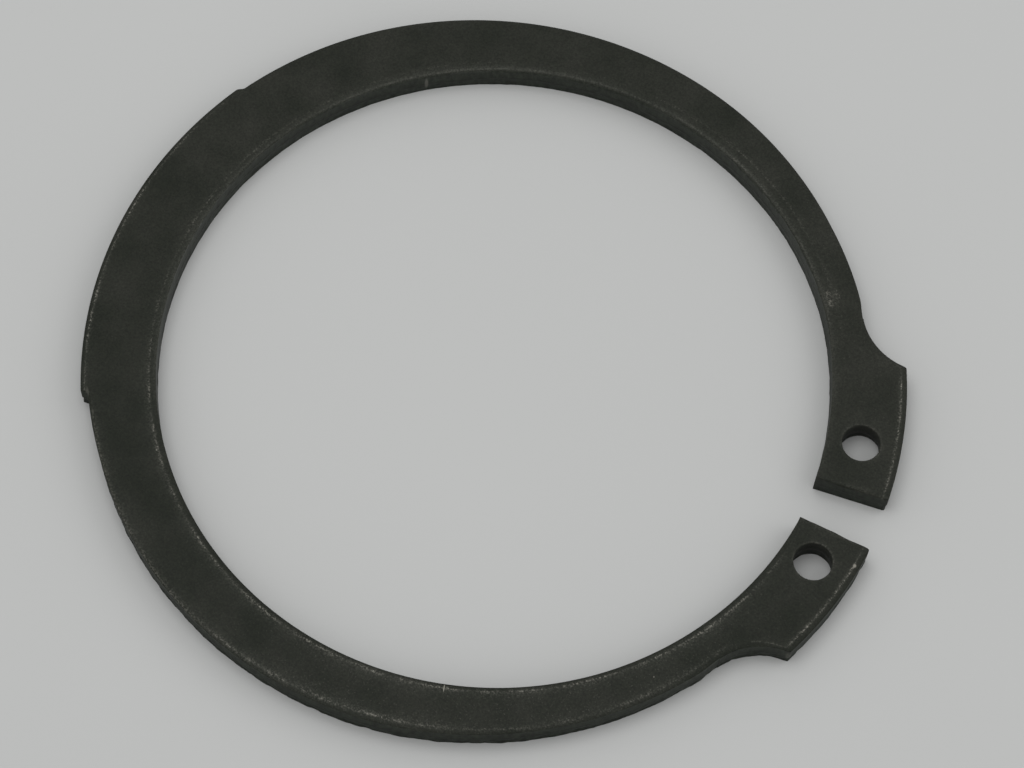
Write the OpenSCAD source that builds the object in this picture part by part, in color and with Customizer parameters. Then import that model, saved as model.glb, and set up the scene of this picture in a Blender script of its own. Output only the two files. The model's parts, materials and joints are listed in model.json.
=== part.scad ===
// External circlip for a shaft groove, stamped in one piece from spring steel strip.
// The bore's axis is Z, the lower face lies on Z = 0, and the gap between the lugs faces +X.
// Stamping leaves rolled edges around the upper face and sharp edges around the lower one.

/* [Ring] */
// Diameter of the bore while the ring is free, before pliers spread it
bore_d = 45.8; // [40:0.1:52]
// Thickness of the strip
thick = 2; // [1.6:0.05:2.6]
// Radial width of the band at the back, opposite the gap
back_w = 4.9; // [4:0.05:4.95]
// Radial width that the band tapers down to, on its way round to the gap
front_w = 2.4; // [1.8:0.05:3]

/* [Lugs] */
// Radial width of the lugs, which the land on the back shares
lug_w = 5.05; // [5:0.05:6]
// Angle from the ring's middle line to the outer corner of each lug
lug_angle = 23.4; // [20:0.2:30]
// Radius of the hollow shoulder between a lug and the band
shoulder_r = 4.65; // [3.5:0.05:7]
// How far the shoulder's arc dips into the edge of the band
shoulder_dip = 0.06; // [0.03:0.01:0.15]

/* [Gap] */
// Angle between the two end faces
gap_angle = 7.8; // [5:0.2:9]
// How far the gap's own middle line passes to one side of the bore's axis
gap_offset = -0.88; // [-1.2:0.02:1.2]
// Angle by which the gap's middle line is turned from the ring's
gap_turn = 1.1; // [-2:0.1:2]

/* [Plier holes] */
// Diameter of the plier holes
hole_d = 2.5; // [2:0.05:3]
// Width of the metal between the bore and a plier hole
hole_wall = 1; // [0.8:0.05:1.6]
// Angle from the middle line to each plier hole
hole_angle = 10.5; // [10:0.25:14]
// Height of the torn lower part of a plier hole's wall
tear_h = 0.7; // [0.3:0.05:1]
// How far the torn part has widened at the lower face
tear_w = 0.12; // [0.04:0.02:0.24]

/* [Land on the back] */
// Angle that the land covers
land_angle = 54.5; // [30:0.5:90]
// Angle by which the land sits to one side of the middle line
land_shift = 0.6; // [-1.5:0.1:1.5]

/* [Rolled edges] */
// Width of the rolled edge around the outside of the upper face
outer_roll_w = 0.35; // [0.2:0.05:0.6]
// Depth of that edge, at the wall
outer_roll_h = 0.12; // [0.05:0.01:0.2]
// Width of the rolled edge around the bore and along the end faces
bore_roll_w = 0.2; // [0.15:0.05:0.4]
// Depth of that edge, at the wall
bore_roll_h = 0.1; // [0.04:0.01:0.15]
// Width of the rolled edge around the plier holes
hole_roll_w = 0.15; // [0.1:0.05:0.3]
// Depth of that edge, at the wall
hole_roll_h = 0.08; // [0.04:0.01:0.1]

/* [Hidden] */
$fn = 180;
phosphate = [0.18, 0.19, 0.17];

bore_r = bore_d / 2;
lug_r = bore_r + lug_w;
hole_r = hole_d / 2;
hole_at_r = bore_r + hole_wall + hole_r;

// The outside of the band is a circle whose centre lies back from the bore's, so the band tapers.
band_r = bore_r + (back_w + front_w) / 2;
band_at = [-(back_w - front_w) / 2, 0];

// Cuts reach past the faces by this much, and wedges past the rim.
over = 1;
far = 2 * lug_r;

// Each end face is cut from its own side, three quarters of the way across the gap at the bore.
end_cut_w = 0.75 * 2 * bore_r * sin(gap_angle / 2);

// The shoulder's arc passes through the lug's corner and dips into the band's edge, so its centre
// is where a circle about the corner meets a circle about the band's centre.
corner = lug_r * [cos(lug_angle), sin(lug_angle)];
reach = norm(corner - band_at);
from_band = band_r - shoulder_dip + shoulder_r;
along = (from_band * from_band - shoulder_r * shoulder_r + reach * reach) / (2 * reach);
aside = sqrt(from_band * from_band - along * along);
to_corner = (corner - band_at) / reach;
shoulder_at = band_at + along * to_corner + aside * [-to_corner.y, to_corner.x];
shoulder_angle = atan2(shoulder_at.y, shoulder_at.x - band_at.x);

// A rolled edge leaves the upper face smoothly and meets the wall at a corner, on an arc of this radius.
function roll_r(w, h) = (w * w + h * h) / (2 * h);

// Section of what is missing above a rolled edge. The wall is at X = 0, its top is at Y = 0, and the
// metal lies towards +X.
module roll_off_section(w, h) {
    difference() {
        translate([-w, 0]) square([2 * w, h + over]);
        translate([w, h - roll_r(w, h)]) circle(r = roll_r(w, h));
    }
}

// Disc as thick as the strip, with its upper outside edge rolled over
module rolled_disc(r) {
    rotate_extrude() difference() {
        square([r, thick]);
        translate([r, thick - outer_roll_h]) mirror([1, 0]) roll_off_section(outer_roll_w, outer_roll_h);
    }
}

// Cutter for a round opening with its upper edge rolled over
module rolled_opening(r, w, h) {
    rotate_extrude() {
        translate([0, -over]) square([r, thick + 2 * over]);
        translate([r, thick - h]) roll_off_section(w, h);
    }
}

// Upright wedge that opens along +X from a point, by an angle to each side
module wedge(at, half_angle) {
    side = far / cos(half_angle);
    translate([at.x, at.y, -over]) linear_extrude(thick + 2 * over)
        polygon([
            [0, 0],
            side * [cos(half_angle), -sin(half_angle)],
            side * [cos(half_angle), sin(half_angle)]
        ]);
}

// Both lugs in one piece, still without shoulders, holes and gap
module lug_blank() {
    intersection() {
        rolled_disc(lug_r);
        wedge(band_at, shoulder_angle);
    }
}

// Stretch of the rim that stands proud on the back
module back_land() {
    intersection() {
        rolled_disc(lug_r);
        rotate(180 + land_shift) wedge([0, 0], land_angle / 2);
    }
}

// Cutters for the hollow shoulders
module shoulder_cuts() {
    for (side = [-1, 1])
        translate([shoulder_at.x, side * shoulder_at.y, 0])
            rolled_opening(shoulder_r, outer_roll_w, outer_roll_h);
}

// Cutter for one plier hole, punched from above: rolled at the top, torn wider at the bottom
module plier_hole_cut() {
    rolled_opening(hole_r, hole_roll_w, hole_roll_h);
    translate([0, 0, tear_h]) mirror([0, 0, 1])
        cylinder(h = tear_h + over, r1 = hole_r, r2 = hole_r + tear_w * (tear_h + over) / tear_h);
}

// Cutters for the plier holes
module plier_hole_cuts() {
    for (side = [-1, 1])
        rotate(side * hole_angle) translate([hole_at_r, 0, 0]) plier_hole_cut();
}

// Cutter for one end face, whose wall is the plane Y = 0 and whose metal lies towards +Y
module end_face_cut() {
    rotate([90, 0, 90]) linear_extrude(far) {
        translate([-end_cut_w, -over]) square([end_cut_w, thick + 2 * over]);
        translate([0, thick - bore_roll_h]) roll_off_section(bore_roll_w, bore_roll_h);
    }
}

// Cutter for the gap, with the upper edges of both end faces rolled over
module gap_cut() {
    translate([0, gap_offset, 0]) rotate(gap_turn) {
        rotate(gap_angle / 2) end_face_cut();
        mirror([0, 1, 0]) rotate(gap_angle / 2) end_face_cut();
    }
}

module circlip() {
    color(phosphate) difference() {
        union() {
            translate(band_at) rolled_disc(band_r);
            lug_blank();
            back_land();
        }
        shoulder_cuts();
        rolled_opening(bore_r, bore_roll_w, bore_roll_h);
        plier_hole_cuts();
        gap_cut();
    }
}

circlip();
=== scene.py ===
"""External circlip in phosphated spring steel, lying on a plain pale floor.

The ring is one surface: a cross-section carried round the bore from one end face to the other, with a
round patch let into it at each plier hole. All lengths are in metres, in the frame of the CAD model.
"""

import json
import math
from types import SimpleNamespace

import bpy
import numpy as np
from mathutils import Matrix, Vector


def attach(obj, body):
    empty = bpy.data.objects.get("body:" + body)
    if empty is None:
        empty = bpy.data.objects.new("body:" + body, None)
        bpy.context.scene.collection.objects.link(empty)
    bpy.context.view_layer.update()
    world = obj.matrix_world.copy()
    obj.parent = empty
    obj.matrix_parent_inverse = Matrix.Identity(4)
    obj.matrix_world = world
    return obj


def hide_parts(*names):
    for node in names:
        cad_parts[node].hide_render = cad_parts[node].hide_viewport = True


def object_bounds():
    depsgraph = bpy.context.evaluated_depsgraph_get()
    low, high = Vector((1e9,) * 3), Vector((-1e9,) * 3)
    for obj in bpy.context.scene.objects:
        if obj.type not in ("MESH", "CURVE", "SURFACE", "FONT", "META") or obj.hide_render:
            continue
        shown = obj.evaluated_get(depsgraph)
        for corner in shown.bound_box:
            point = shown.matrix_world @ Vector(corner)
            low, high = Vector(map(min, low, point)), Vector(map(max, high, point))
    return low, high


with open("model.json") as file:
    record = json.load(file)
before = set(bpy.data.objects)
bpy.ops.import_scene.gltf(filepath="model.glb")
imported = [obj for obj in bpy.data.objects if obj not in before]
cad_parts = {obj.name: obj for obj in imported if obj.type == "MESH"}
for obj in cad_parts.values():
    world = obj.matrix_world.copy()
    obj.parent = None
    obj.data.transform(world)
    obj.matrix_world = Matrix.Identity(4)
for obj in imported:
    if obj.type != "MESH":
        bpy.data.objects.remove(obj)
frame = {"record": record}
cad_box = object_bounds()

bl_info = {
    "name": "Circlip",
    "version": (1, 0, 0),
    "blender": (4, 5, 0),
    "location": "View3D > Sidebar > Circlip",
    "description": "External circlip in phosphated spring steel, on a plain floor",
    "category": "Add Mesh",
}

MM = 0.001
MOUNTS = {mount["name"]: mount for mount in frame["record"]["mounts"]}
SEAT = MOUNTS["shaft_seat"]["dims"]
HOLE = MOUNTS["plier_hole_a"]
# How much pliers have widened the holes, in millimetres
HOLE_WORN = 0.08


def linear(hex_colour):
    """Linear RGB of an sRGB hex colour such as #2D2F2A."""
    srgb = np.array([int(hex_colour[i:i + 2], 16) for i in (1, 3, 5)]) / 255
    return tuple(np.where(srgb <= 0.04045, srgb / 12.92, ((srgb + 0.055) / 1.055) ** 2.4))


def length(name, description, default):
    """A property that holds a length in metres."""
    return bpy.props.FloatProperty(name=name, description=description, default=default, min=0,
                                   precision=5, subtype="DISTANCE", unit="LENGTH")


def turn(name, description, degrees):
    """A property that holds an angle, which is given here in degrees."""
    return bpy.props.FloatProperty(name=name, description=description, default=math.radians(degrees),
                                   subtype="ANGLE", unit="ROTATION")


def colour(name, description, hex_colour):
    """A property that holds a colour, which is given here as sRGB hex."""
    return bpy.props.FloatVectorProperty(name=name, description=description, default=linear(hex_colour),
                                         size=3, min=0, max=1, subtype="COLOR")


def amount(name, description, default, high=1.0):
    """A property that holds a plain number from zero up."""
    return bpy.props.FloatProperty(name=name, description=description, default=default, min=0, max=high)


class RingSizes(bpy.types.PropertyGroup):
    """Sizes of the ring. Those that the CAD model gives come from it."""

    bore_d: length("Bore", "Diameter of the bore while the ring is free", 2 * SEAT["r_mm"] * MM)
    thick: length("Thickness", "Thickness of the strip", cad_box[1].z - cad_box[0].z)
    rim_r: length("Lug radius", "Radius of the lugs and of the land on the back", -cad_box[0].x)
    band_r: length("Band radius", "Radius of the band's outside", (cad_box[1].y - cad_box[0].y) / 2)
    taper: length("Taper", "How far the band's centre lies back from the bore's", 1.25 * MM)
    lug_angle: turn("Lug angle", "Angle from the middle line to the corner of a lug", 23.4)
    shoulder_r: length("Shoulder", "Radius of the hollow shoulder beside a lug", 4.65 * MM)
    shoulder_dip: length("Shoulder dip", "How far the shoulder dips into the band", 0.06 * MM)
    gap_angle: turn("Gap", "Angle between the end faces", 7.8)
    gap_turn: turn("Gap turn", "Angle of the gap's middle line", 1.1)
    gap_offset: length("Gap offset", "How far that line passes beside the bore's axis", 0.88 * MM)
    hole_d: length("Plier holes", "Diameter of the plier holes", (2 * HOLE["dims"]["r_mm"] + HOLE_WORN) * MM)
    land_angle: turn("Land", "Angle that the land on the back covers", 54.5)
    land_shift: turn("Land shift", "Angle by which the land sits to one side", 0.6)
    outer_roll_w: length("Outer roll", "Width of the rolled edge round the outside", 0.35 * MM)
    outer_roll_h: length("Outer roll depth", "Depth of that edge at the wall", 0.12 * MM)
    bore_roll_w: length("Bore roll", "Width of the rolled edge round the bore", 0.2 * MM)
    bore_roll_h: length("Bore roll depth", "Depth of that edge at the wall", 0.1 * MM)
    hole_roll_w: length("Hole roll", "Width of the rolled edge round a plier hole", 0.09 * MM)
    hole_roll_h: length("Hole roll depth", "Depth of that edge at the wall", 0.07 * MM)
    tear_h: length("Torn height", "Height of the torn lower part of the walls", 0.85 * MM)
    tear_w: length("Torn width", "How far a plier hole has torn open below", 0.12 * MM)
    tear_depth: length("Tear depth", "Depth of the roughness on the torn walls", 0.05 * MM)


class PhosphateFinish(bpy.types.PropertyGroup):
    """Colours of the phosphate coat and of the wear on it."""

    coat: colour("Coat", "Colour of the coat", "#1D201A")
    coat_pale: colour("Pale coat", "Colour of the coat where it is thinner", "#2B2C27")
    # Along the bore's rolled edge this pale band is partly a painted highlight as well as rubbed coat
    rubbed: colour("Rubbed coat", "Colour of the coat along edges that have rubbed", "#54554F")
    shear: colour("Smooth wall", "Colour of the smooth part of the walls", "#252922")
    tear: colour("Torn wall", "Colour of the torn part of the walls", "#242822")
    steel: colour("Steel", "Colour of bare steel on worn edges", "#A5A298")
    # Real crystals are a tenth as large and wouldn't show, so clusters of them are drawn
    grit: length("Grit", "Size of the clusters of crystals in the coat", 0.13 * MM)
    mottle: length("Mottling", "Size of the patches where the coat is thicker or thinner", 3.0 * MM)
    wear: amount("Wear", "How far the edges have worn through to the steel", 0.54)


class StageSettings(bpy.types.PropertyGroup):
    """Floor, light and camera."""

    floor: colour("Floor", "Colour of the floor", "#BDBEBD")
    ambient: amount("Ambient light", "Share of the floor's light that comes from all round", 0.66)
    overhead: amount("Overhead light", "Share of the floor's light that comes from the lamp above", 0.275)
    side: amount("Side light", "Share of the floor's light that comes from the lamp on the right", 0.065)
    azimuth: turn("Azimuth", "Direction from which the camera looks, round the bore's axis", 20.45)
    tilt: turn("Tilt", "Angle of the camera's line of sight below the horizon", 65.64)
    roll: turn("Roll", "Angle by which the camera leans", 3.27)


# Angle by which the first plier hole lies off its mirrored place, and how much further out it lies
HOLE_TURN = math.radians(0.25)
HOLE_OUT = 0.08 * MM


def turned_about(axis, angle, vector):
    """The vector turned about an axis by an angle."""
    return Matrix.Rotation(angle, 3, axis) @ Vector(vector)


def ring_shape(sizes):
    """Sizes of the ring with what follows from them.

    The shoulder's arc passes through the lug's corner and dips into the band's edge, so its centre is
    where a circle about the corner meets a circle about the band's centre.
    """
    names = [name for name in sizes.bl_rna.properties.keys() if name not in ("rna_type", "name")]
    ring = SimpleNamespace(**{name: getattr(sizes, name) for name in names})
    ring.bore_r = ring.bore_d / 2
    ring.hole_r = ring.hole_d / 2
    ring.hole_at = np.array(HOLE["pos_m"][:2])
    ring.hole_at_r = math.hypot(*ring.hole_at)
    ring.hole_angle = math.atan2(ring.hole_at[1], ring.hole_at[0])
    first_hole = np.array(turned_about("Z", HOLE_TURN, (*ring.hole_at, 0)))[:2]
    ring.holes = (first_hole * (1 + HOLE_OUT / ring.hole_at_r), ring.hole_at * (1, -1))
    middle = math.pi + ring.land_shift
    ring.land = (middle - ring.land_angle / 2, middle + ring.land_angle / 2)
    band_at = np.array([-ring.taper, 0])
    corner = ring.rim_r * np.array([math.cos(ring.lug_angle), math.sin(ring.lug_angle)])
    reach = math.hypot(*(corner - band_at))
    from_band = ring.band_r - ring.shoulder_dip + ring.shoulder_r
    along = (from_band ** 2 - ring.shoulder_r ** 2 + reach ** 2) / (2 * reach)
    aside = math.sqrt(from_band ** 2 - along ** 2)
    ahead = (corner - band_at) / reach
    ring.shoulder_at = band_at + along * ahead + aside * np.array([-ahead[1], ahead[0]])
    ring.shoulder_angle = math.atan2(ring.shoulder_at[1], ring.shoulder_at[0])
    ring.end_lines = (ring.gap_turn + ring.gap_angle / 2, ring.gap_turn - ring.gap_angle / 2)
    return ring


def wrapped(angle):
    """The same angle between minus and plus half a turn."""
    return (angle + math.pi) % (2 * math.pi) - math.pi


def by_angle(table, angle):
    """Value from a short table of angles in degrees and values, with straight lines between them."""
    degrees, values = np.array(table).T
    return np.interp(np.degrees(wrapped(angle)), degrees, values)


def eased(value, low, high):
    """0 below low, 1 above high, and a smooth ramp between them."""
    share = np.clip((value - low) / (high - low), 0, 1)
    return share * share * (3 - 2 * share)


def lattice_noise(x, y, seed):
    """Smooth noise from -1 to 1: fixed random values on whole numbers, with smooth ramps between them."""
    values = np.random.default_rng(seed).uniform(-1, 1, (256, 256))
    x0, y0 = np.floor(x), np.floor(y)
    fx, fy = eased(x - x0, 0, 1), eased(y - y0, 0, 1)
    i, j = x0.astype(int) % 256, y0.astype(int) % 256
    i1, j1 = (i + 1) % 256, (j + 1) % 256
    low = values[i, j] * (1 - fx) + values[i1, j] * fx
    high = values[i, j1] * (1 - fx) + values[i1, j1] * fx
    return low * (1 - fy) + high * fy


def ragged(x, y, size, seed):
    """Three layers of lattice noise, each half as large and half as deep as the one before."""
    layers = [lattice_noise(x / size * 2 ** k, y / size * 2 ** k, seed + k) / 2 ** k for k in range(3)]
    return sum(layers) / 1.75


def lesser(a, b, blend):
    """The smaller of two values, with the corner where they cross rounded off over a blend."""
    share = np.clip(0.5 + (b - a) / (2 * blend), 0, 1)
    return b + (a - b) * share - blend * share * (1 - share)


# Where along the rim, measured from each end of the land, its slope from the band starts and stops, and how
# much longer it is on the rolled edge, as a share of the distance in from the wall
LAND_SLOPES = np.array([[-0.08, 0.5], [0.0, 0.3]]) * MM
SLOPE_MORE = 1.5
# How much the corner between a lug and its shoulder is rounded, and the one between a lug and its end
CORNER_BLEND = 0.25 * MM
END_CORNER = 0.16 * MM
# How much deeper the outside has torn than the bore
RIM_TEAR = 2.1
# How many millimetres the band's outside stays within its circle, by the angle round the ring in degrees
BAND_TRIM = ((-180, 0.0), (-160, 0.05), (-150, 0.2), (-142, 0.27), (-126, 0.21), (-108, 0.1), (-96, 0.03),
             (-84, -0.06), (-54, 0.0), (36, 0.0), (48, 0.08), (72, 0.0), (138, -0.05), (180, 0.0))


def outside(ring, angle, inset):
    """Distance from the bore's axis to the outside, or to a line that runs inset in from it.

    The outside is the band's circle, trimmed a little, or the rim's larger one, which counts at the lugs
    and on the land, whose ends slope down to the band. It is cut off where a line from the axis first
    meets a shoulder's arc.
    """
    angle = wrapped(angle)
    reach = ring.band_r - by_angle(BAND_TRIM, angle) * MM - inset
    band = np.sqrt(reach ** 2 - (ring.taper * np.sin(angle)) ** 2) - ring.taper * np.cos(angle)
    around = angle % (2 * math.pi)
    past = (around - ring.land[0]) * ring.rim_r
    land = eased(past, LAND_SLOPES[0, 0], LAND_SLOPES[0, 1] + SLOPE_MORE * inset)
    past = (around - ring.land[1]) * ring.rim_r
    land = land * (1 - eased(past, LAND_SLOPES[1, 0] - SLOPE_MORE * inset, LAND_SLOPES[1, 1]))
    on_lug = np.abs(angle) < ring.shoulder_angle
    rim = np.where(on_lug, 1.0, land)
    radius = band + rim * (ring.rim_r - inset - band)
    ahead = ring.shoulder_at[0] * np.cos(angle) + ring.shoulder_at[1] * np.abs(np.sin(angle))
    aside = ring.shoulder_at[0] * np.abs(np.sin(angle)) - ring.shoulder_at[1] * np.cos(angle)
    room = (ring.shoulder_r + inset) ** 2 - aside ** 2
    met = (room > 0) & (ahead > 0)
    hollow = np.where(met, ahead - np.sqrt(np.maximum(room, 0)), 2 * ring.rim_r)
    return lesser(radius, hollow, CORNER_BLEND)


def roll_drop(inset, width, depth):
    """How far a rolled edge has dropped below the face, inset in from the wall.

    It is an arc that leaves the face smoothly and has dropped by the whole depth at the wall.
    """
    radius = (width ** 2 + depth ** 2) / (2 * depth)
    return radius - np.sqrt(radius ** 2 - np.clip(width - inset, 0, width) ** 2)


def end_angle(ring, line_angle, radius):
    """Angle at which an end face's line crosses a circle about the bore's axis."""
    foot = ring.gap_offset * math.sin(line_angle)
    along = foot + np.sqrt(radius ** 2 - (ring.gap_offset * math.cos(line_angle)) ** 2)
    return math.atan2(along * math.sin(line_angle) - ring.gap_offset, along * math.cos(line_angle))


# Half the width of the square round a plier hole that its round patch fills
WINDOW = 1.72 * MM
# Numbers of cross-sections and of rows across that square
WINDOW_STEPS = (26, 12)
# Spacing of the cross-sections where the outline is steep, and elsewhere
FINE_STEP = 0.05 * MM
PLAIN_STEP = 0.16 * MM
# Angle past the middle of a shoulder up to which the cross-sections are close
SHOULDER_MORE = 0.05


def stations(ring, first, last):
    """Angles of the cross-sections at the outside, and the first section of each plier hole's square.

    They are evenly spaced between the places that need one, and closest where the outline is steep.
    """
    lean = end_angle(ring, ring.end_lines[0], ring.rim_r) - end_angle(ring, ring.end_lines[0], ring.bore_r)
    hole_lean = lean * (ring.rim_r - ring.hole_at_r) / (ring.rim_r - ring.bore_r)
    half = WINDOW / ring.hole_at_r
    full = 2 * math.pi
    roll = ring.bore_roll_w / ring.rim_r
    slopes = np.array(ring.land)[:, None] + LAND_SLOPES / ring.rim_r
    past_shoulder = ring.shoulder_angle + SHOULDER_MORE
    hole_a = ring.hole_angle + hole_lean
    hole_b = full - ring.hole_angle + hole_lean
    fine, plain = FINE_STEP, PLAIN_STEP
    at_end, at_corner = 1.2 * roll, 2 * roll
    stops = [
        (first, fine),
        (first + at_end, plain),
        (hole_a - half, None),
        (hole_a + half, plain),
        (ring.lug_angle - at_corner, fine),
        (ring.lug_angle, fine),
        (past_shoulder, plain),
        (slopes[0, 0], fine),
        (slopes[0, 1], plain),
        (slopes[1, 0], fine),
        (slopes[1, 1], plain),
        (full - past_shoulder, fine),
        (full - ring.lug_angle, fine),
        (full - ring.lug_angle + at_corner, plain),
        (hole_b - half, None),
        (hole_b + half, plain),
        (last - at_end, fine),
        (last, None),
    ]
    angles, windows = [], []
    for (start, step), (stop, _) in zip(stops, stops[1:]):
        if step is None:
            windows.append(sum(len(part) for part in angles))
            count = WINDOW_STEPS[0]
        else:
            count = max(1, round((stop - start) * ring.rim_r / step))
        angles.append(np.linspace(start, stop, count, endpoint=False))
    return np.concatenate(angles + [[last]]), windows


# Heights on a wall, as shares of its torn part and then of its smooth part above, how deep the torn part
# lies behind the smooth one there, and how much painted shade the crease between the two gets there
TORN_SHARES = np.array([0, 0.06, 0.22, 0.42, 0.62, 0.82, 0.94, 1.0])
TORN_DEPTHS = np.array([0.5, 0.6, 1.0, 1.0, 0.9, 0.7, 0.5, 0.0])
SMOOTH_SHARES = np.array([0.06, 0.4, 0.75, 1.0])
CREASE_SHADES = np.array([0, 0, 0, 0, 0, 0.4, 1.0, 1.0, 0.6, 0, 0, 0])
# Shares of a rolled edge's width at which the section has a point, from the wall inwards
ROLL_SHARES = np.array([0, 0.06, 0.25, 0.55, 1.0])
# Sizes of what varies along a wall: the wander of the line between its parts, the grain of the torn part,
# the chips in the lower edge and how far up they reach, and the fine lines that the shears have drawn
LINE_WANDER = 4 * MM
TEAR_GRAIN = 0.55 * MM
CHIP = 0.8 * MM
CHIP_REACH = 0.25 * MM
DRAWN_LINE = 0.18 * MM
DRAWN_DEPTH = 0.006 * MM
# Length over which the rolled edges grow wider and narrower, and for the end faces the size of the bites
# in their rolled edges and the grain of their torn part
ROLL_WANDER = 2.5 * MM
BITE = 1.1 * MM
END_GRAIN = 0.5 * MM


def wall_zones():
    """Which points up a wall are torn, which are smooth and how much painted shade each gets in the crease,
    as three columns.
    """
    torn = np.concatenate([TORN_DEPTHS > 0, 0 * SMOOTH_SHARES])
    smooth = np.concatenate([0 * TORN_SHARES, SMOOTH_SHARES > 0])
    return np.stack([torn, smooth, CREASE_SHADES], axis=-1)


def wall(ring, along, top, depth, seed):
    """Insets and heights of the points on a wall, from the lower edge up, one row per cross-section.

    Shears leave a smooth upper part, faintly drawn along the stroke, and a torn lower part. The line
    between them wanders, and the torn part is rough and ends in a ragged lower edge.
    """
    line = ring.tear_h * (1 + 0.22 * ragged(along, 0 * along, LINE_WANDER, seed))[:, None]
    low = line * TORN_SHARES
    high = line + (top[:, None] - line) * SMOOTH_SHARES
    height = np.concatenate([low, high], axis=1)
    along = along[:, None] + 0 * height
    rough = ragged(along, 1.3 * height, TEAR_GRAIN, seed + 10)
    chips = np.maximum(ragged(along, 0 * height, CHIP, seed + 20) - 0.1, 0)
    depth = depth * np.concatenate([TORN_DEPTHS, 0 * SMOOTH_SHARES])
    edge = np.exp(-height / CHIP_REACH)
    inset = depth * (0.45 + 0.75 * rough + 1.3 * edge * chips)
    drawn = DRAWN_DEPTH * lattice_noise(along / DRAWN_LINE, 0 * height, seed + 30)
    return inset + drawn * np.concatenate([0 * TORN_SHARES, [1, 1, 1, 0]]), height


def face_shares(ring):
    """Places of the rows across the upper face, as shares of its width between the rolled edges.

    Two of them are the sides of the squares round the plier holes, and the rows between divide those.
    """
    low = ring.bore_r + ring.bore_roll_w
    width = ring.rim_r - ring.outer_roll_w - low
    sides = (np.array([-WINDOW, WINDOW]) + ring.hole_at_r - low) / width
    return np.concatenate([[0], np.linspace(*sides, WINDOW_STEPS[1] + 1), [1]])


def ring_grid(ring):
    """Points of the section carried round the ring, and where the section's four sides lie in it.

    Each section stands on a straight line from the bore to the outside, at an angle that goes evenly
    from one end face's to the other's, so that the first and last ones are the end faces. A point is
    placed by its share of that line, measured from the bore, and by its height.
    """
    first = [end_angle(ring, ring.end_lines[0], r) for r in (ring.bore_r, ring.rim_r)]
    last = [end_angle(ring, ring.end_lines[1], r) + 2 * math.pi for r in (ring.bore_r, ring.rim_r)]
    outer, windows = stations(ring, first[1], last[1])
    inner = first[0] + (outer - first[1]) / (last[1] - first[1]) * (last[0] - first[0])
    to_end = ring.rim_r * np.minimum(outer - first[1], last[1] - outer)
    past_corner = np.clip(END_CORNER - to_end, 0, END_CORNER)
    corner = END_CORNER - np.sqrt(END_CORNER ** 2 - past_corner ** 2)[:, None]
    reach = outside(ring, outer, corner[:, 0])
    foot = ring.bore_r * np.stack([np.cos(inner), np.sin(inner)], axis=-1)
    tip = reach[:, None] * np.stack([np.cos(outer), np.sin(outer)], axis=-1)

    def share_of(radius):
        return (radius - ring.bore_r) / (reach[:, None] - ring.bore_r)

    worn = 1 + 0.22 * ragged(outer * ring.rim_r, 0 * outer, ROLL_WANDER, 3)[:, None]
    bore_insets = ring.bore_roll_w * ROLL_SHARES * worn
    rim_insets = ring.outer_roll_w * ROLL_SHARES[::-1] * worn
    bore_roll = share_of(ring.bore_r + bore_insets)
    rim_roll = share_of(outside(ring, outer[:, None], rim_insets + corner))
    shares = face_shares(ring)[1:-1]
    face = bore_roll[:, -1:] + shares * (rim_roll[:, :1] - bore_roll[:, -1:])
    top_share = np.concatenate([bore_roll, face, rim_roll], axis=1)
    drop = np.concatenate([
        roll_drop(bore_insets, ring.bore_roll_w * worn, ring.bore_roll_h),
        np.zeros(face.shape),
        roll_drop(rim_insets, ring.outer_roll_w * worn, ring.outer_roll_h),
    ], axis=1)
    plan = foot[:, None] + top_share[..., None] * (tip - foot)[:, None]
    top_height = ring.thick - np.maximum(drop, end_drop(ring, plan))

    bore_inset, bore_height = wall(ring, inner * ring.bore_r, top_height[:, 0], ring.tear_depth, 100)
    rim_depth = RIM_TEAR * ring.tear_depth
    rim_inset, rim_height = wall(ring, outer * ring.rim_r, top_height[:, -1], rim_depth, 200)
    bore_share = share_of(ring.bore_r + bore_inset)
    rim_share = share_of(outside(ring, outer[:, None], rim_inset + corner))
    floor_share = bore_share[:, :1] + top_share * (rim_share[:, :1] - bore_share[:, :1])
    share = np.concatenate([bore_share, top_share[:, 1:], rim_share[:, -2::-1],
                            floor_share[:, -2:0:-1]], axis=1)
    height = np.concatenate([bore_height, top_height[:, 1:], rim_height[:, -2::-1],
                             0 * floor_share[:, -2:0:-1]], axis=1)
    plan = foot[:, None] + share[..., None] * (tip - foot)[:, None]
    points = np.concatenate([plan, height[..., None]], axis=-1)

    rows, across = bore_share.shape[1], top_share.shape[1]
    sides = SimpleNamespace(
        bore=np.arange(rows),
        top=np.arange(across) + rows - 1,
        rim=np.arange(rows)[::-1] + rows + across - 2,
        floor=(np.arange(across)[::-1] + 2 * rows + across - 3) % share.shape[1],
        windows=windows,
    )
    return points, sides


def from_end(ring, plan):
    """Distance of a point from the nearer end face, in plan.

    The two end faces mirror each other in the gap's middle line.
    """
    x, y = plan[..., 0], plan[..., 1] + ring.gap_offset
    ahead = x * math.cos(ring.gap_turn) + y * math.sin(ring.gap_turn)
    aside = np.abs(y * math.cos(ring.gap_turn) - x * math.sin(ring.gap_turn))
    away = aside * math.cos(ring.gap_angle / 2) - ahead * math.sin(ring.gap_angle / 2)
    return np.where(ahead > 0, away, ring.rim_r)


def end_drop(ring, plan):
    """How far the face has dropped at the upper edges of the end faces, which are rolled and bitten."""
    radius = np.hypot(plan[..., 0], plan[..., 1])
    wander = ragged(radius, plan[..., 1], BITE, 5)
    width = ring.bore_roll_w * np.maximum(1.3 + 1.6 * wander, 0.3)
    depth = ring.bore_roll_h * np.maximum(1.3 + 1.5 * wander, 0.3)
    return roll_drop(from_end(ring, plan), width, depth)


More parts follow.
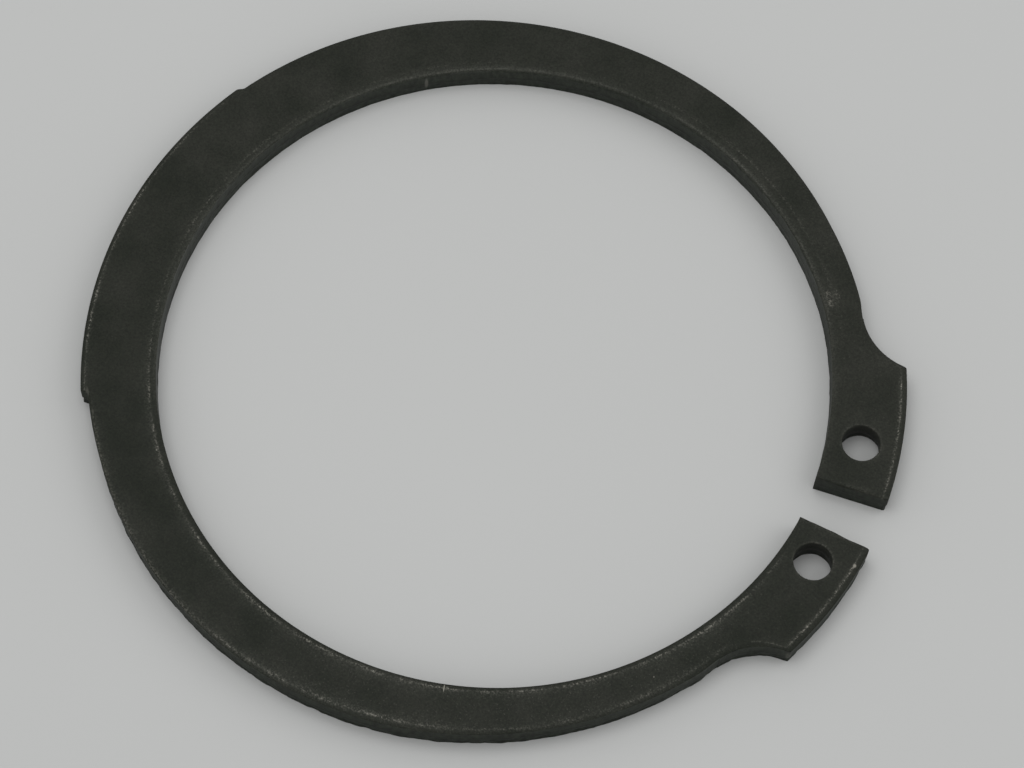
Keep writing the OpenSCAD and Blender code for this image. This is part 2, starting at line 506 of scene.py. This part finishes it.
def quads(index, closed=False, flip=False):
    """Faces of a grid of vertex numbers, which may close on itself along its second direction."""
    if closed:
        index = np.concatenate([index, index[:, :1]], axis=1)
    corners = [index[:-1, :-1], index[1:, :-1], index[1:, 1:], index[:-1, 1:]]
    if flip:
        corners.reverse()
    return np.stack(corners, axis=-1).reshape(-1, 4)


def end_cap(ring, points, sides, section, start, seed):
    """Grid of vertex numbers over one end face, and the points that it adds inside the face's border.

    Each inner point lies on the upright line between the points of the lower and upper border, as high
    as the wall's points, and steps back a little where the face is torn.
    """
    number = section * points.shape[1]
    rows, across = len(sides.bore), len(sides.top)
    index = np.zeros((across, rows), int)
    index[0], index[-1] = number + sides.bore, number + sides.rim
    index[:, 0], index[:, -1] = number + sides.floor, number + sides.top
    index[1:-1, 1:-1] = start + np.arange((across - 2) * (rows - 2)).reshape(across - 2, rows - 2)
    border = points[section]
    low, high = border[sides.floor][1:-1, None], border[sides.top][1:-1, None]
    share = (border[sides.bore][1:-1, 2] / border[sides.bore][-1, 2])[None, :, None]
    inner = low + share * (high - low)
    line = ring.end_lines[0 if section == 0 else 1]
    back = (1 if section == 0 else -1) * np.array([-math.sin(line), math.cos(line), 0])
    depth = np.concatenate([TORN_DEPTHS, 0 * SMOOTH_SHARES])[1:-1]
    along = np.hypot(inner[..., 0], inner[..., 1])
    rough = np.maximum(0.5 + 0.8 * ragged(along, inner[..., 2], END_GRAIN, seed), 0)
    inner = inner + (ring.tear_depth * depth * rough)[..., None] * back
    zones = np.broadcast_to(wall_zones()[1:-1], (across - 2, rows - 2, 3))
    return index, inner.reshape(-1, 3), zones.reshape(-1, 3)


# How far each plier hole's lower edge lies outwards of its upper one and further round, because its punch
# wasn't quite in the middle of the die
HOLE_LEANS = np.array([(0.12, 0.0), (0.09, -0.08)]) * MM
# Size of the waves in the upper border of a hole's torn part
HOLE_WANDER = 1.2 * MM
# Shares of the way between a square and its hole at which the patch has a ring
PATCH_SHARES = (0.35, 0.7)


def hole_patch(ring, points, sides, hole, start, seed):
    """Rings of vertex numbers through one plier hole, the points that they add, and how torn each is.

    From the square on the upper face the rings close in on the hole's circle, roll over its edge, go
    down its smooth wall and its torn, wider lower part, and open out to the square on the lower face.
    """
    first, (steps, rows) = sides.windows[hole], WINDOW_STEPS
    low = len(ROLL_SHARES)
    a, b = np.arange(steps), np.arange(rows)
    section = first + np.concatenate([a, np.full(rows, steps), steps - a, np.zeros(rows, int)])
    row = low + np.concatenate([np.zeros(steps, int), b, np.full(steps, rows), rows - b])
    upper = section * points.shape[1] + sides.top[row]
    lower = section * points.shape[1] + sides.floor[row]
    flat = points.reshape(-1, 3)
    centre = ring.holes[hole]
    out = centre / math.hypot(*centre)
    lean = HOLE_LEANS[hole] @ np.array([out, (-out[1], out[0])])
    angle = np.arctan2(*(flat[upper, :2] - centre).T[::-1])
    circle = np.stack([np.cos(angle), np.sin(angle)], axis=-1)
    line = ring.tear_h * (1 + 0.2 * ragged(*(ring.hole_r * circle.T), HOLE_WANDER, seed))

    layers, torn = [], []
    rolled = ring.hole_r + ring.hole_roll_w
    for share in PATCH_SHARES:
        layers.append((flat[upper, :2] * (1 - share) + (centre + rolled * circle) * share, ring.thick))
        torn.append(0)
    for inset in ring.hole_roll_w * ROLL_SHARES[::-1]:
        drop = roll_drop(inset, ring.hole_roll_w, ring.hole_roll_h)
        layers.append((centre + (ring.hole_r + inset) * circle, ring.thick - drop))
        torn.append(0)
    top = ring.thick - ring.hole_roll_h
    for share in (0.3, 0.65):
        layers.append((centre + ring.hole_r * circle, top + (line - top) * share))
        torn.append(0)
    for share in (0, 0.08, 0.35, 0.7, 1.0):
        rough = ragged(3 * circle[:, 0], 3 * circle[:, 1] + 4 * share, 0.8, seed + 5)
        rough = 0.6 * ring.tear_depth * rough
        wide = ring.hole_r + ring.tear_w * (0.25 * (share > 0) + 0.75 * share) + rough * (share > 0)
        layers.append((centre + share * lean + wide[:, None] * circle, line * (1 - share)))
        torn.append(1 if 0 < share < 1 else 0.5)
    rim = layers[-1][0]
    for share in PATCH_SHARES:
        layers.append((rim * (1 - share) + flat[lower, :2] * share, 0.0))
        torn.append(0)

    count = len(upper)
    added = np.stack([
        np.concatenate([plan, np.broadcast_to(height, count)[:, None]], axis=1) for plan, height in layers
    ])
    index = start + np.arange(len(layers) * count).reshape(len(layers), count)
    index = np.concatenate([upper[None], index, lower[None]])
    torn = np.repeat(np.array(torn, float), count)
    return index, added.reshape(-1, 3), np.stack([torn, 0 * torn, 0 * torn], axis=-1)


def ring_mesh(ring):
    """Points and faces of the ring, closed and facing outwards, and each point's part of a wall."""
    grid, sides = ring_grid(ring)
    sections, rows = grid.shape[:2]
    index = np.arange(sections * rows).reshape(sections, rows)
    kept = np.ones((sections - 1, rows), bool)
    for first in sides.windows:
        span = slice(first, first + WINDOW_STEPS[0])
        row = len(ROLL_SHARES) + np.arange(WINDOW_STEPS[1])
        kept[span, sides.top[row]] = False
        kept[span, sides.floor[row + 1]] = False
    faces = [quads(index, closed=True, flip=True)[kept.ravel()]]
    points = [grid.reshape(-1, 3)]
    row_zones = np.zeros((rows, 3))
    row_zones[sides.bore] = wall_zones()
    row_zones[sides.rim] = wall_zones()
    zones = [np.tile(row_zones, (sections, 1))]
    for section, flip, seed in ((0, False, 300), (sections - 1, True, 320)):
        cap, added, cap_zones = end_cap(ring, grid, sides, section, sum(map(len, points)), seed)
        faces.append(quads(cap, flip=flip))
        points.append(added)
        zones.append(cap_zones)
    for hole, seed in ((0, 400), (1, 420)):
        patch, added, patch_zones = hole_patch(ring, grid, sides, hole, sum(map(len, points)), seed)
        faces.append(quads(patch, closed=True))
        points.append(added)
        zones.append(patch_zones)
    return np.concatenate(points), np.concatenate(faces), np.concatenate(zones)


# Where worn lines lie, as millimetres from the bore, from the outer edge, from a plier hole or from an end
# face, by the angle round the ring in degrees
RUB_LINE = ((-180, 0.44), (-140, 0.46), (-120, 0.4), (-90, 0.3), (-50, 0.3), (-30, 0.4), (-5, 0.37),
            (24, 0.8), (55, 0.88), (105, 0.7), (140, 0.5), (180, 0.44))
BORE_LINE = ((-180, 0.0), (25, 0.0), (35, 0.14), (95, 0.18), (125, 0.1), (155, 0.1), (180, 0.0))
RIM_LINE = ((-180, 0.28), (-160, 0.28), (-145, 0.12), (-116, 0.08), (-108, 0.2), (-100, 0.3), (-84, 0.42),
            (-70, 0.34), (-60, 0.24), (-30, 0.4), (150, 0.2), (180, 0.28))
FINE_LINE = ((-180, 0.28), (-150, 0.28), (-30, 0.4), (30, 0.4), (150, 0.26), (180, 0.28))
HOLE_LINE = ((0, 0.04),)
END_LINE = ((0, 0.1),)
# How much those lines and the face have worn, by the angle round the ring
RUB_WEAR = ((-180, 0.4), (-165, 0.3), (-150, 0.9), (-130, 0.6), (-120, 1.0), (-100, 0.9), (-90, 1.2),
            (-60, 0.8), (-48, 0.6), (-30, 1.2), (-18, 0.45), (-10, 0.1), (5, 0.0), (28, 0.0), (35, 0.3),
            (75, 0.2), (90, 0.05), (150, 0.15), (165, 0.35), (180, 0.4))
# Along the bore's rolled edge the pale band is partly a painted highlight, so this table also sets where
# that highlight lies
BORE_WEAR_AND_HIGHLIGHT = ((-180, 0.9), (-155, 0.8), (-145, 0.2), (-130, 0.0), (-15, 0.0), (5, 0.5), (55, 0.7), (65, 1.0),
             (88, 0.55), (105, 0.9), (125, 1.0), (155, 0.55), (180, 0.9))
RIM_WEAR = ((-180, 0.2), (-152, 0.2), (-144, 0.7), (-116, 0.6), (-100, 0.9), (-84, 0.9), (-76, 0.65),
            (-70, 0.25), (-60, 0.5), (-35, 0.4), (-26, 0.0), (150, 0.0), (180, 0.2))
FINE_WEAR = ((-180, 1.0), (-165, 1.4), (-154, 0.9), (-150, 0.0), (-27, 0.0), (-22, 1.4), (-12, 1.0),
             (14, 1.0), (20, 1.8), (25, 0.0), (154, 0.0), (160, 0.5), (180, 1.0))
HOLE_WEAR = ((0, 0.4),)
END_WEAR = ((0, 0.4),)
FACE_WEAR = ((-180, 0.2), (-110, 0.3), (-95, 1.0), (-40, 1.0), (-20, 0.4), (20, 0.4), (30, 0.7), (60, 0.5),
             (75, 0.2), (180, 0.2))
# Small marks: the angle round the ring in degrees, then millimetres from the bore and above the lower
# face, then the mark's half lengths along the ring, across it and upwards in millimetres, then how bare it
# is. A nick is bare all over, and a scuff shows as specks.
NICKS = ((125.9, 0.0, 0.95, 0.17, 0.15, 0.9, 0.22), (-74.7, 0.3, 2.0, 0.05, 0.34, 0.3, 0.7),
         (-7.9, 4.7, 2.0, 0.14, 0.15, 0.3, 0.6), (-140.5, 0.57, 2.0, 0.09, 0.07, 0.3, 0.4),
         (-41.7, 1.48, 2.0, 0.06, 0.06, 0.3, 0.4), (-23.3, 4.95, 1.1, 0.25, 0.2, 0.8, 0.1),
         (-151.6, 4.6, 1.95, 0.5, 0.14, 0.2, 0.1))
SCUFFS = ((35.9, 0.54, 2.0, 0.9, 0.28, 0.3, 0.6), (36.4, 1.1, 2.0, 0.6, 0.25, 0.3, 0.4),
          (-8.6, 4.66, 2.0, 0.7, 0.12, 0.3, 1.0))
# How smooth the walls are drawn, and how much thinner the coat is, by the angle round the ring
BORE_DRAWN = ((-180, 1.0), (-10, 0.4), (30, 0.4), (42, 1.0), (180, 1.0))
RIM_DRAWN = ((-180, 0.2), (-110, 0.2), (-90, 0.05), (-60, 0.05), (-38, 0.45), (20, 0.45), (30, 0.2),
             (180, 0.2))
COAT_THIN = ((-180, -0.1), (-130, -0.13), (-105, -0.09), (-85, 0.0), (-50, 0.0), (-30, -0.08), (10, 0.0),
             (30, 0.1), (60, 0.0), (120, 0.0), (155, 0.03), (180, -0.1))
# How many millimetres the lugs lie outwards of their plain places, and further round, by the angle
SPRUNG_OUT = ((-30, 0.0), (-6, 0.05), (4, -0.1), (12, -0.1), (22, -0.08), (34, 0.0))
SPRUNG_ROUND = ((-45, 0.0), (-32, 0.06), (-22, 0.06), (-12, 0.02), (-5, 0.07), (2, 0.0), (13, 0.0),
                (22, 0.14), (32, 0.14), (45, 0.0))
# How far below the upper face wear starts, and where it is full
WORN_FROM = 0.45 * MM
WORN_FULL = 0.1 * MM


def sprung(points):
    """The points with those of the lugs moved a little, as the ends of a free ring aren't quite in line."""
    x, y, z = points.T
    angle, radius = np.arctan2(y, x), np.hypot(x, y)
    turned = angle + by_angle(SPRUNG_ROUND, angle) * MM / radius
    radius = radius + by_angle(SPRUNG_OUT, angle) * MM
    return np.stack([radius * np.cos(turned), radius * np.sin(turned), z], axis=-1)


def wear_attributes(ring, points, zones):
    """What the finish needs to know at each point: its place round and across the ring, its distances
    from the worn lines, how worn these are, which part of a wall it is on and how much painted shade its
    crease gets.
    """
    angle = np.arctan2(points[:, 1], points[:, 0])
    from_bore = np.hypot(points[:, 0], points[:, 1]) - ring.bore_r
    from_rim = outside(ring, angle, 0) - ring.bore_r - from_bore
    from_hole = np.min([np.hypot(*(points[:, :2] - hole).T) for hole in ring.holes], axis=0) - ring.hole_r
    upper = eased(points[:, 2], ring.thick - WORN_FROM, ring.thick - WORN_FULL)
    on_bore = from_bore < ring.bore_roll_w
    drawn = np.where(on_bore, by_angle(BORE_DRAWN, angle), by_angle(RIM_DRAWN, angle))
    found = {
        "along": angle % (2 * math.pi) * ring.bore_r,
        "from_bore": from_bore,
        "face_wear": by_angle(FACE_WEAR, angle) * upper,
        "torn": zones[:, 0],
        "sheared": zones[:, 1],
        "crease": zones[:, 2],
        # How much painted shade falls in a wall's crease at this point
        "drawn": zones[:, :2].sum(axis=1) * drawn,
        "thin": by_angle(COAT_THIN, angle),
    }
    for name, inset, line, wear in (
        ("rub", from_bore, RUB_LINE, RUB_WEAR),
        ("bore", from_bore, BORE_LINE, BORE_WEAR_AND_HIGHLIGHT),
        ("rim", from_rim, RIM_LINE, RIM_WEAR),
        ("fine", from_rim, FINE_LINE, FINE_WEAR),
        ("hole", from_hole, HOLE_LINE, HOLE_WEAR),
        ("end", from_end(ring, points), END_LINE, END_WEAR),
    ):
        found["off_" + name] = inset - by_angle(line, angle) * MM
        found[name + "_wear"] = by_angle(wear, angle) * upper
    return found


# Corners sharper than this are shaded as corners
SMOOTH_ANGLE = math.radians(40)


def mesh_object(name, points, faces, attributes, material):
    """An object at the origin with that mesh, shaded smooth except across sharp corners."""
    mesh = bpy.data.meshes.new(name)
    mesh.from_pydata(points.tolist(), [], faces.tolist())
    mesh.polygons.foreach_set("use_smooth", np.ones(len(faces), bool))
    mesh.set_sharp_from_angle(angle=SMOOTH_ANGLE)
    for label, values in attributes.items():
        layer = mesh.attributes.new(label, "FLOAT", "POINT")
        layer.data.foreach_set("value", values.astype(np.float32))
    mesh.materials.append(material)
    if mesh.validate():
        raise RuntimeError(f"the mesh of {name} isn't valid")
    made = bpy.data.objects.new(name, mesh)
    bpy.context.scene.collection.objects.link(made)
    return made


def add(tree, kind, inputs=None, out=0, **settings):
    """Adds a shader node with its settings and its inputs' values or links, and returns one output."""
    node = tree.nodes.new("ShaderNode" + kind)
    for name, value in settings.items():
        setattr(node, name, value)
    for name, value in (inputs or {}).items():
        if isinstance(value, bpy.types.NodeSocket):
            tree.links.new(value, node.inputs[name])
        else:
            node.inputs[name].default_value = value
    return node.outputs[out] if node.outputs else node


# Sockets of a Mix node that hold colours, which its names don't tell apart
MIX_A, MIX_B, MIX_OUT = 6, 7, 2
# Sizes of the specks of bare steel and of the stretches in which worn lines come and go
CRUMB = 0.12 * MM
WORN_RUN = 1.9 * MM
# Width of the streaks on the walls, and how much they are drawn out upwards
STREAK = 0.3 * MM
STREAK_FLAT = 0.4
# Share of the coat's roughness that is left where the shears have drawn a wall smooth
WALL_ROUGH = 0.65
# Depth of the coat's relief
RELIEF = 0.02 * MM
# What the finish reads at each point, apart from the worn lines
PLACE_ATTRIBUTES = ("along", "from_bore", "face_wear", "torn", "sheared", "crease", "drawn", "thin")
# The worn lines: over what distance their specks of steel fade towards the edge and towards the face, and
# how thick these lie, then the same for the rubbed coat
WORN_LINES = (
    ("rub", (0.05 * MM, 0.08 * MM, 1.1), (0.09 * MM, 0.4 * MM, 0.18)),
    # The bore's pale band is partly rubbed coat and partly a painted highlight on its rolled edge
    ("bore", (0.08 * MM, 0.08 * MM, 0.1), (0.12 * MM, 0.2 * MM, 0.34)),
    ("rim", (0.07 * MM, 0.1 * MM, 0.8), (0.18 * MM, 0.35 * MM, 0.24)),
    ("fine", (0.04 * MM, 0.06 * MM, 1.0), (0.06 * MM, 0.1 * MM, 0.15)),
    ("hole", (0.05 * MM, 0.05 * MM, 0.5), (0.06 * MM, 0.08 * MM, 0.4)),
    ("end", (0.06 * MM, 0.06 * MM, 0.5), (0.08 * MM, 0.12 * MM, 0.2)),
)
# Size of the clouds on the floor
CLOUD = 40 * MM


def new_material(name):
    """A material with an empty node tree."""
    material = bpy.data.materials.new(name)
    material.use_nodes = True
    material.node_tree.nodes.clear()
    return material, material.node_tree


def worn_line(tree, name, near, far, most):
    """How worn the face is along a line: most on it, fading over one distance before it, another beyond."""
    off = add(tree, "Attribute", out="Fac", attribute_name="off_" + name)
    before = add(tree, "Math", {0: off, 1: near}, operation="DIVIDE")
    beyond = add(tree, "Math", {0: off, 1: -far}, operation="DIVIDE")
    fade = add(tree, "Math", {0: before, 1: beyond}, operation="MINIMUM")
    fade = add(tree, "Math", {0: fade}, operation="EXPONENT")
    wear = add(tree, "Attribute", out="Fac", attribute_name=name + "_wear")
    wear = add(tree, "Math", {0: wear, 1: most}, operation="MULTIPLY")
    return add(tree, "Math", {0: fade, 1: wear}, operation="MULTIPLY")


def marked(tree, marks, place, ring_r):
    """How bare the marks of a list leave the metal: as the list says within an oval, fading at its rim."""
    share = 0.0
    for degrees, out, up, half_along, half_out, half_up, bare in marks:
        centre = np.array([math.radians(degrees % 360) * ring_r, out * MM, up * MM])
        scale = 1 / (np.array([half_along, half_out, half_up]) * MM)
        near = add(tree, "VectorMath", {0: place, 1: tuple(scale), 2: tuple(-centre * scale)},
                   operation="MULTIPLY_ADD")
        near = add(tree, "VectorMath", {0: near}, out="Value", operation="LENGTH")
        mark = add(tree, "MapRange", {"Value": near, "From Min": 0.4, "From Max": 1.0, "To Min": bare,
                                      "To Max": 0.0}, interpolation_type="SMOOTHSTEP")
        share = add(tree, "Math", {0: share, 1: mark}, operation="MAXIMUM")
    return share


def phosphated_steel(finish, ring_r):
    """Spring steel with a crystalline phosphate coat, dipped and oiled.

    The eye gets a dark matt grey-green with a fine grit and faint patches, streaks on the walls with
    painted shade in their creases, a soft grey band along edges that have rubbed, which along the bore's
    rolled edge is partly a painted highlight, and fine bright specks of steel where they have worn through.
    """
    material, tree = new_material("phosphated_steel")
    place = add(tree, "TexCoord", out="Object")
    height = add(tree, "SeparateXYZ", {0: place}, out="Z")
    at = {name: add(tree, "Attribute", out="Fac", attribute_name=name) for name in PLACE_ATTRIBUTES}
    unrolled = add(tree, "CombineXYZ", {"X": at["along"], "Y": at["from_bore"], "Z": height})

    grit = add(tree, "TexNoise", {"Vector": place, "Scale": 1 / finish.grit, "Detail": 2.0})
    patches = add(tree, "TexNoise", {"Vector": place, "Scale": 1 / finish.mottle, "Detail": 4.0})
    crumbs = add(tree, "TexNoise", {"Vector": place, "Scale": 1 / CRUMB, "Detail": 3.0, "Roughness": 0.7})
    runs = add(tree, "TexNoise", {"Vector": place, "Scale": 1 / WORN_RUN, "Detail": 2.0})

    edges, bands = 0.0, 0.0
    for name, specks, rubbed in WORN_LINES:
        line = worn_line(tree, name, *specks)
        edges = add(tree, "Math", {0: edges, 1: line}, operation="MAXIMUM")
        line = worn_line(tree, name, *rubbed)
        bands = add(tree, "Math", {0: bands, 1: line}, operation="MAXIMUM")
    # Worn lines come and go along their length, and rubbing shows first on the tops of the crumbs
    runs = add(tree, "MapRange", {"Value": runs, "From Min": 0.4, "From Max": 0.6, "To Min": 0.2,
                                  "To Max": 1.3})
    edges = add(tree, "Math", {0: edges, 1: runs}, operation="MULTIPLY")
    tops = add(tree, "MapRange", {"Value": crumbs, "From Min": 0.38, "From Max": 0.62, "To Min": 0.4,
                                  "To Max": 1.6})
    bands = add(tree, "Math", {0: bands, 1: tops}, operation="MULTIPLY")
    scuffs = marked(tree, SCUFFS, unrolled, ring_r)
    edges = add(tree, "Math", {0: edges, 1: scuffs}, operation="MAXIMUM")
    # Steel shows as fine specks, thick on the worn lines and sparse on the worn stretches of the face
    specks = add(tree, "MapRange", {"Value": crumbs, "From Min": 0.47, "From Max": 0.66})
    bare = add(tree, "Math", {0: edges, 1: specks}, operation="MULTIPLY")
    bare = add(tree, "Math", {0: bare, 1: finish.wear}, operation="MULTIPLY")
    sparse = add(tree, "MapRange", {"Value": crumbs, "From Min": 0.6, "From Max": 0.78, "To Max": 0.16})
    bare = add(tree, "Math", {0: sparse, 1: at["face_wear"], 2: bare}, operation="MULTIPLY_ADD")
    nicks = marked(tree, NICKS, unrolled, ring_r)
    bare = add(tree, "Math", {0: bare, 1: nicks}, operation="MAXIMUM")

    thin = add(tree, "Math", {0: at["thin"], 1: patches}, operation="ADD")
    thin = add(tree, "MapRange", {"Value": thin, "From Min": 0.25, "From Max": 0.77})
    coat = add(tree, "Mix", {0: thin, MIX_A: (*finish.coat, 1), MIX_B: (*finish.coat_pale, 1)},
               out=MIX_OUT, data_type="RGBA")
    # Walls are streaked along the stroke of the shears
    upright = add(tree, "VectorMath", {0: unrolled, 1: (1, 1, STREAK_FLAT)}, operation="MULTIPLY")
    streaks = add(tree, "TexNoise", {"Vector": upright, "Scale": 1 / STREAK, "Detail": 2.0})
    streaks = add(tree, "MapRange", {"Value": streaks, "From Min": 0.3, "From Max": 0.7, "To Min": 0.6,
                                     "To Max": 1.4})
    # Painted shade: the crease between a wall's two parts is darkened here and there, as shade falls in it
    crease = add(tree, "Math", {0: at["crease"], 1: runs}, operation="MULTIPLY")
    shade = add(tree, "MapRange", {"Value": crease, "To Min": 1.0, "To Max": 0.65})
    streaks = add(tree, "Math", {0: streaks, 1: shade}, operation="MULTIPLY")
    for name, tone in (("sheared", finish.shear), ("torn", finish.tear)):
        tone = add(tree, "VectorMath", {0: tuple(tone), 1: streaks}, operation="MULTIPLY")
        coat = add(tree, "Mix", {0: at[name], MIX_A: coat, MIX_B: tone}, out=MIX_OUT, data_type="RGBA")
    coat = add(tree, "Mix", {0: bands, MIX_A: coat, MIX_B: (*finish.rubbed, 1)}, out=MIX_OUT,
               data_type="RGBA")
    speckle = add(tree, "MapRange", {"Value": grit, "From Min": 0.3, "From Max": 0.72, "To Min": 0.71,
                                     "To Max": 1.37})
    coat = add(tree, "VectorMath", {0: coat, 1: speckle}, operation="MULTIPLY")
    base = add(tree, "Mix", {0: bare, MIX_A: coat, MIX_B: (*finish.steel, 1)}, out=MIX_OUT, data_type="RGBA")
    roughness = add(tree, "MapRange", {"Value": grit, "From Min": 0.3, "From Max": 0.7, "To Min": 0.55,
                                       "To Max": 0.7})
    drawn = add(tree, "MapRange", {"Value": at["drawn"], "To Min": 1.0, "To Max": WALL_ROUGH})
    roughness = add(tree, "Math", {0: roughness, 1: drawn}, operation="MULTIPLY")
    relief = add(tree, "Math", {0: grit, 1: crumbs}, operation="ADD")
    normal = add(tree, "Bump", {"Strength": 0.3, "Distance": RELIEF, "Height": relief})
    shader = add(tree, "BsdfPrincipled", {"Base Color": base, "Metallic": bare, "Roughness": roughness,
                                          "Specular IOR Level": 0.12, "Normal": normal})
    add(tree, "OutputMaterial", {"Surface": shader})
    return material


def pale_floor(stage):
    """Matt pale board, which the eye sees as one even grey with a trace of cloudiness."""
    material, tree = new_material("matt_board")
    place = add(tree, "TexCoord", out="Object")
    cloud = add(tree, "TexNoise", {"Vector": place, "Scale": 1 / CLOUD, "Detail": 2.0})
    level = add(tree, "MapRange", {"Value": cloud, "To Min": 0.985, "To Max": 1.015})
    tint = add(tree, "VectorMath", {0: tuple(stage.floor), 1: level}, operation="MULTIPLY")
    shader = add(tree, "BsdfPrincipled", {"Base Color": tint, "Roughness": 0.9, "Specular IOR Level": 0.1})
    add(tree, "OutputMaterial", {"Surface": shader})
    return material


class CIRCLIP_OT_ring(bpy.types.Operator):
    """Makes the ring in its finish and puts it in place of the CAD solid"""

    bl_idname = "circlip.ring"
    bl_label = "Make ring"

    def execute(self, context):
        ring = ring_shape(context.scene.circlip_sizes)
        points, faces, zones = ring_mesh(ring)
        material = phosphated_steel(context.scene.circlip_finish, ring.bore_r)
        attributes = wear_attributes(ring, points, zones)
        made = mesh_object("circlip_ring", sprung(points), faces, attributes, material)
        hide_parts("circlip")
        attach(made, "root")
        return {"FINISHED"}


class CIRCLIP_OT_stage(bpy.types.Operator):
    """Makes the floor, the light and the camera"""

    bl_idname = "circlip.stage"
    bl_label = "Make stage"

    def execute(self, context):
        scene, stage = context.scene, context.scene.circlip_stage
        scene.view_settings.view_transform = "Standard"
        make_floor(stage)
        make_light(scene, stage)
        make_camera(scene, stage)
        return {"FINISHED"}


# Half the width of the floor
FLOOR_HALF = 0.6
# The lamps' widths and their distances from the middle of the floor, and for each lamp the angle by which it
# stands round from the camera's right and its height above the floor
LAMP_WIDE = 0.2
LAMP_AWAY = 0.26
OVERHEAD = (math.radians(165), math.radians(80))
SIDE = (math.radians(15), math.radians(42))


def make_floor(stage):
    """A wide level square under the ring."""
    corners = FLOOR_HALF * np.array([(-1, -1, 0), (1, -1, 0), (1, 1, 0), (-1, 1, 0)])
    faces = np.array([(0, 1, 2, 3)])
    floor = mesh_object("floor", corners, faces, {}, pale_floor(stage))


def make_light(scene, stage):
    """Even light from all round, a wide soft lamp overhead and a weak one on the camera's right."""
    world = bpy.data.worlds.new("soft_room")
    world.use_nodes = True
    world.node_tree.nodes["Background"].inputs["Color"].default_value = (1, 1, 1, 1)
    world.node_tree.nodes["Background"].inputs["Strength"].default_value = stage.ambient
    scene.world = world
    make_lamp(scene, "overhead_lamp", stage.overhead, stage.azimuth, *OVERHEAD)
    make_lamp(scene, "side_lamp", stage.side, stage.azimuth, *SIDE)


def make_lamp(scene, name, share, azimuth, around, height):
    """Round lamp that faces the ring and gives the floor a share of its light.

    A disk gives a white floor in front of it its power over pi squared and over the squares of its
    radius and distance, times the sine of its height.
    """
    lamp = bpy.data.lights.new(name, "AREA")
    lamp.shape = "DISK"
    lamp.size = LAMP_WIDE
    lamp.energy = share * math.pi ** 2 * (LAMP_AWAY ** 2 + (LAMP_WIDE / 2) ** 2) / math.sin(height)
    aim = turned_about("Z", azimuth + around, (math.cos(height), 0, math.sin(height)))
    made = bpy.data.objects.new(name, lamp)
    made.location = LAMP_AWAY * aim
    made.rotation_euler = aim.to_track_quat("Z", "Y").to_euler()
    scene.collection.objects.link(made)


# Place of the camera before it is turned round the bore's axis to its azimuth
CAMERA_AT = (0.001172, -0.084771, 0.186177)


def make_camera(scene, stage):
    """Camera that looks down on the ring, with a long lens worked out for a frame 1024 by 768 pixels."""
    frame_w, focal = 1024, 3000
    camera = bpy.data.cameras.new("camera")
    camera.sensor_width = 36
    camera.lens = focal / frame_w * camera.sensor_width
    camera.clip_start, camera.clip_end = 0.01, 10
    right = turned_about("Z", stage.azimuth, (1, 0, 0))
    ahead = turned_about("Z", stage.azimuth, (0, math.cos(stage.tilt), -math.sin(stage.tilt)))
    right = turned_about(ahead, -stage.roll, right)
    up = right.cross(ahead)
    made = bpy.data.objects.new("camera", camera)
    spot = turned_about("Z", stage.azimuth, CAMERA_AT)
    made.matrix_world = Matrix.Translation(spot) @ Matrix((right, up, -ahead)).transposed().to_4x4()
    scene.collection.objects.link(made)
    scene.camera = made


class CIRCLIP_PT_panel(bpy.types.Panel):
    """Sizes, finish and stage of the circlip"""

    bl_label = "Circlip"
    bl_space_type = "VIEW_3D"
    bl_region_type = "UI"
    bl_category = "Circlip"

    def draw(self, context):
        for group, operator in (
            (context.scene.circlip_sizes, None),
            (context.scene.circlip_finish, CIRCLIP_OT_ring.bl_idname),
            (context.scene.circlip_stage, CIRCLIP_OT_stage.bl_idname),
        ):
            for name in group.bl_rna.properties.keys():
                if name not in ("rna_type", "name"):
                    self.layout.prop(group, name)
            if operator:
                self.layout.operator(operator)


GROUPS = {"circlip_sizes": RingSizes, "circlip_finish": PhosphateFinish, "circlip_stage": StageSettings}
CLASSES = (*GROUPS.values(), CIRCLIP_OT_ring, CIRCLIP_OT_stage, CIRCLIP_PT_panel)


def register():
    for made in CLASSES:
        bpy.utils.register_class(made)
    for name, group in GROUPS.items():
        setattr(bpy.types.Scene, name, bpy.props.PointerProperty(type=group))


def unregister():
    for name in GROUPS:
        delattr(bpy.types.Scene, name)
    for made in reversed(CLASSES):
        bpy.utils.unregister_class(made)


def main():
    """Makes the ring and the stage."""
    register()
    bpy.ops.circlip.ring()
    bpy.ops.circlip.stage()


if __name__ == "__main__":
    main()
